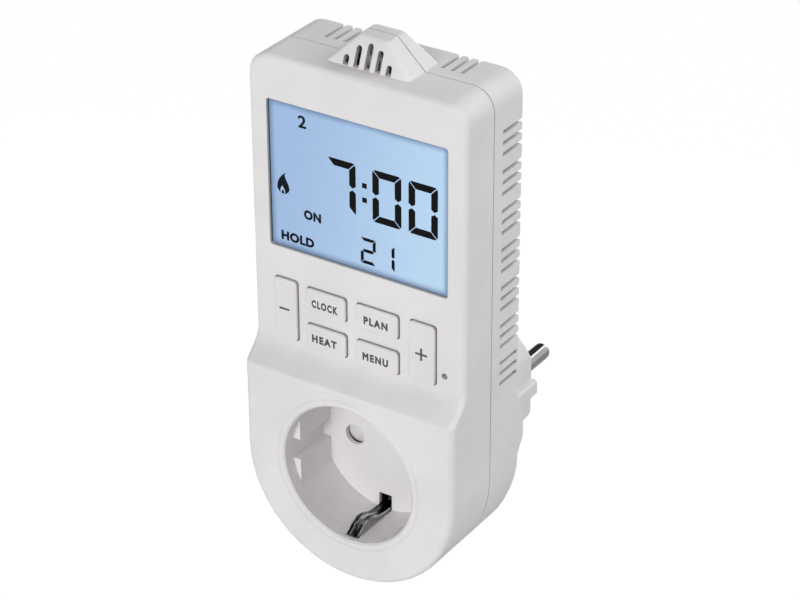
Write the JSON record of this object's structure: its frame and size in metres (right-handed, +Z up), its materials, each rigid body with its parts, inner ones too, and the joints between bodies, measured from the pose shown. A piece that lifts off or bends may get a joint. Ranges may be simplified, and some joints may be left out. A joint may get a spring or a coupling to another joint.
{
  "type": "plug-in thermostat",
  "caption": "Plug-in room thermostat: slim upright case with display, keys, vented sensor hood, a recessed earthed socket in front and an earthed pin plug behind.",
  "frame": {"origin": "centre of the rear plug's end face, midway between its two pins", "axes": "+Y out of the plug's end face along the pins, so the front with display and socket faces -Y; +Z up; +X to the right seen from the front"},
  "size_m": [0.0636, 0.0832, 0.149],
  "materials": {
    "housing": "fine matt moulded surface, warm light grey white",
    "keycap": "matt moulded caps with dark grey printed legends",
    "window": "clear glossy plastic window",
    "lcd": "pale blue lit liquid crystal panel with near black segments",
    "backlight": "frosted light guide",
    "dark_plastic": "black moulded plastic",
    "connector_rubber": "soft striped contact strip",
    "circuit_board": "green solder mask",
    "insulator": "cream heat-resistant plastic",
    "relay_case": "blue component body",
    "capacitor_film": "yellow boxed capacitor",
    "capacitor_sleeve": "dark shrink sleeve",
    "fuse_glass": "glass tube fuse with metal caps",
    "cell_sleeve": "button cell",
    "brass": "stamped brass",
    "spring_steel": "polished plated spring strip",
    "nickel": "nickel plated",
    "zinc_steel": "zinc plated screws"
  },
  "bodies": {
    "case": {"backup_battery": "cell_sleeve", "board_header": "dark_plastic", "board_screw_1": "zinc_steel", "board_screw_2": "zinc_steel", "board_screw_3": "zinc_steel", "board_screw_4": "zinc_steel", "boost_switch": "dark_plastic", "case_screw_1": "zinc_steel", "case_screw_2": "zinc_steel", "case_screw_3": "zinc_steel", "case_screw_4": "zinc_steel", "clock_switch": "dark_plastic", "contact_carrier": "insulator", "display_board": "circuit_board", "display_window": "window", "earth_link": "brass", "earth_strip_bottom": "spring_steel", "earth_strip_top": "spring_steel", "film_capacitor": "capacitor_film", "front_cover": "housing", "fuse": "fuse_glass", "lcd_backlight": "backlight", "lcd_connector_strip": "connector_rubber", "lcd_frame": "dark_plastic", "lcd_glass": "lcd", "line_contact": "brass", "line_pin": "nickel", "line_terminal": "brass", "microcontroller": "dark_plastic", "minus_switch": "dark_plastic", "mode_switch": "dark_plastic", "neutral_contact": "brass", "neutral_pin": "nickel", "plus_switch": "dark_plastic", "power_board": "circuit_board", "program_switch": "dark_plastic", "rear_cover": "housing", "relay": "relay_case", "reset_switch": "dark_plastic", "sensor_holder": "insulator", "shutter_spring": "spring_steel", "smoothing_capacitor": "capacitor_sleeve", "socket_insert": "housing", "temperature_sensor": "dark_plastic", "varistor": "relay_case"},
    "minus_button": {"minus_key": "keycap", "minus_switch_plunger": "insulator"},
    "clock_button": {"clock_key": "keycap", "clock_switch_plunger": "insulator"},
    "program_button": {"program_key": "keycap", "program_switch_plunger": "insulator"},
    "boost_button": {"boost_key": "keycap", "boost_switch_plunger": "insulator"},
    "mode_button": {"mode_key": "keycap", "mode_switch_plunger": "insulator"},
    "plus_button": {"plus_key": "keycap", "plus_switch_plunger": "insulator"},
    "reset_button": {"reset_switch_plunger": "insulator"},
    "pin_shutter": {"shutter": "housing"}
  },
  "joints": [
    {"name": "minus_press", "type": "slide", "parent": "case", "child": "minus_button", "axis": [0, 1, 0], "range_m": [0, 0.0006], "stiffness_N_per_m": 1500, "springref_m": -0.0003},
    {"name": "clock_press", "type": "slide", "parent": "case", "child": "clock_button", "axis": [0, 1, 0], "range_m": [0, 0.0006], "stiffness_N_per_m": 1500, "springref_m": -0.0003},
    {"name": "program_press", "type": "slide", "parent": "case", "child": "program_button", "axis": [0, 1, 0], "range_m": [0, 0.0006], "stiffness_N_per_m": 1500, "springref_m": -0.0003},
    {"name": "boost_press", "type": "slide", "parent": "case", "child": "boost_button", "axis": [0, 1, 0], "range_m": [0, 0.0006], "stiffness_N_per_m": 1500, "springref_m": -0.0003},
    {"name": "mode_press", "type": "slide", "parent": "case", "child": "mode_button", "axis": [0, 1, 0], "range_m": [0, 0.0006], "stiffness_N_per_m": 1500, "springref_m": -0.0003},
    {"name": "plus_press", "type": "slide", "parent": "case", "child": "plus_button", "axis": [0, 1, 0], "range_m": [0, 0.0006], "stiffness_N_per_m": 1500, "springref_m": -0.0003},
    {"name": "reset_press", "type": "slide", "parent": "case", "child": "reset_button", "axis": [0, 1, 0], "range_m": [0, 0.0006], "stiffness_N_per_m": 800, "springref_m": -0.0003},
    {"name": "shutter_lift", "type": "slide", "parent": "case", "child": "pin_shutter", "axis": [0, 0, 1], "range_m": [0, 0.0066], "stiffness_N_per_m": 120, "springref_m": -0.004, "deforming": ["shutter_spring"]}
  ]
}
